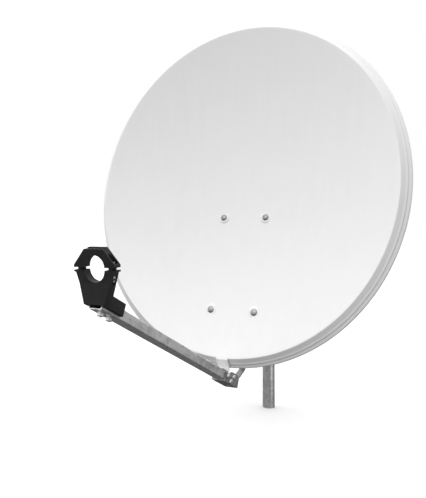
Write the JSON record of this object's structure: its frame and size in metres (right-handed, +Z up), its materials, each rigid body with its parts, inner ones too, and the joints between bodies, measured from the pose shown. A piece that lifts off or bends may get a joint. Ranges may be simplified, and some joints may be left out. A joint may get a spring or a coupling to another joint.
{
  "type": "satellite dish",
  "caption": "Offset satellite dish with rolled rim, square feed arm, two-part neck clamp and a rear elevation bracket clamped to a short mast.",
  "frame": {"origin": "centre of the mast's lower end", "axes": "+Z up the mast, the dish faces -Y, +X to the right of someone looking along +Y at the dish's face"},
  "size_m": [0.7909, 0.7808, 0.9833],
  "materials": {
    "reflector_paint": "satin pale grey powder coat",
    "bracket_zinc": "zinc-plated pressed steel",
    "arm_zinc": "galvanised square tube with drawing marks",
    "mast_galvanised": "dull galvanised pipe",
    "cast_saddle": "as cast",
    "bolt_zinc": "bright zinc",
    "black_plastic": "fine moulded texture"
  },
  "bodies": {
    "mast": {"mast_tube": "mast_galvanised", "mast_cap": "black_plastic"},
    "mast_clamp": {"mast_bracket": "bracket_zinc", "mast_saddles": "cast_saddle", "u_bolts": "bolt_zinc", "u_bolt_washers": "bolt_zinc", "u_bolt_nuts": "bolt_zinc", "pivot_bolt": "bolt_zinc", "lock_bolts": "bolt_zinc", "elevation_washers": "bolt_zinc", "elevation_nuts": "bolt_zinc"},
    "dish": {"reflector": "reflector_paint", "reflector_bolts": "bolt_zinc", "reflector_washers": "bolt_zinc", "reflector_nuts": "bolt_zinc", "rear_frame": "bracket_zinc", "arm_stay": "bracket_zinc", "stay_bolts": "bolt_zinc", "stay_nuts": "bolt_zinc", "arm_bracket": "bracket_zinc", "arm_bolts": "bolt_zinc", "arm_nuts": "bolt_zinc", "arm_end_plug": "black_plastic", "feed_arm": "arm_zinc", "rim_lug": "reflector_paint", "lug_screw": "bolt_zinc", "lnb_holder": "black_plastic", "holder_bolts": "bolt_zinc", "holder_washers": "bolt_zinc", "holder_nuts": "bolt_zinc", "cap_nuts": "bolt_zinc"},
    "lnb_cap": {"lnb_cap": "black_plastic", "cap_screws": "bolt_zinc"}
  },
  "joints": [
    {"name": "azimuth", "type": "hinge", "parent": "mast", "child": "mast_clamp", "pos_m": [0, 0, 0.416], "axis": [0, 0, 1], "continuous": true},
    {"name": "elevation", "type": "hinge", "parent": "mast_clamp", "child": "dish", "pos_m": [0, -0.062, 0.44], "axis": [-1, 0, 0], "range_deg": [-14, 20]},
    {"name": "neck_clamp", "type": "slide", "parent": "dish", "child": "lnb_cap", "axis": [0, -0.0958, 0.9954], "range_m": [-0.0035, 0.003]}
  ]
}
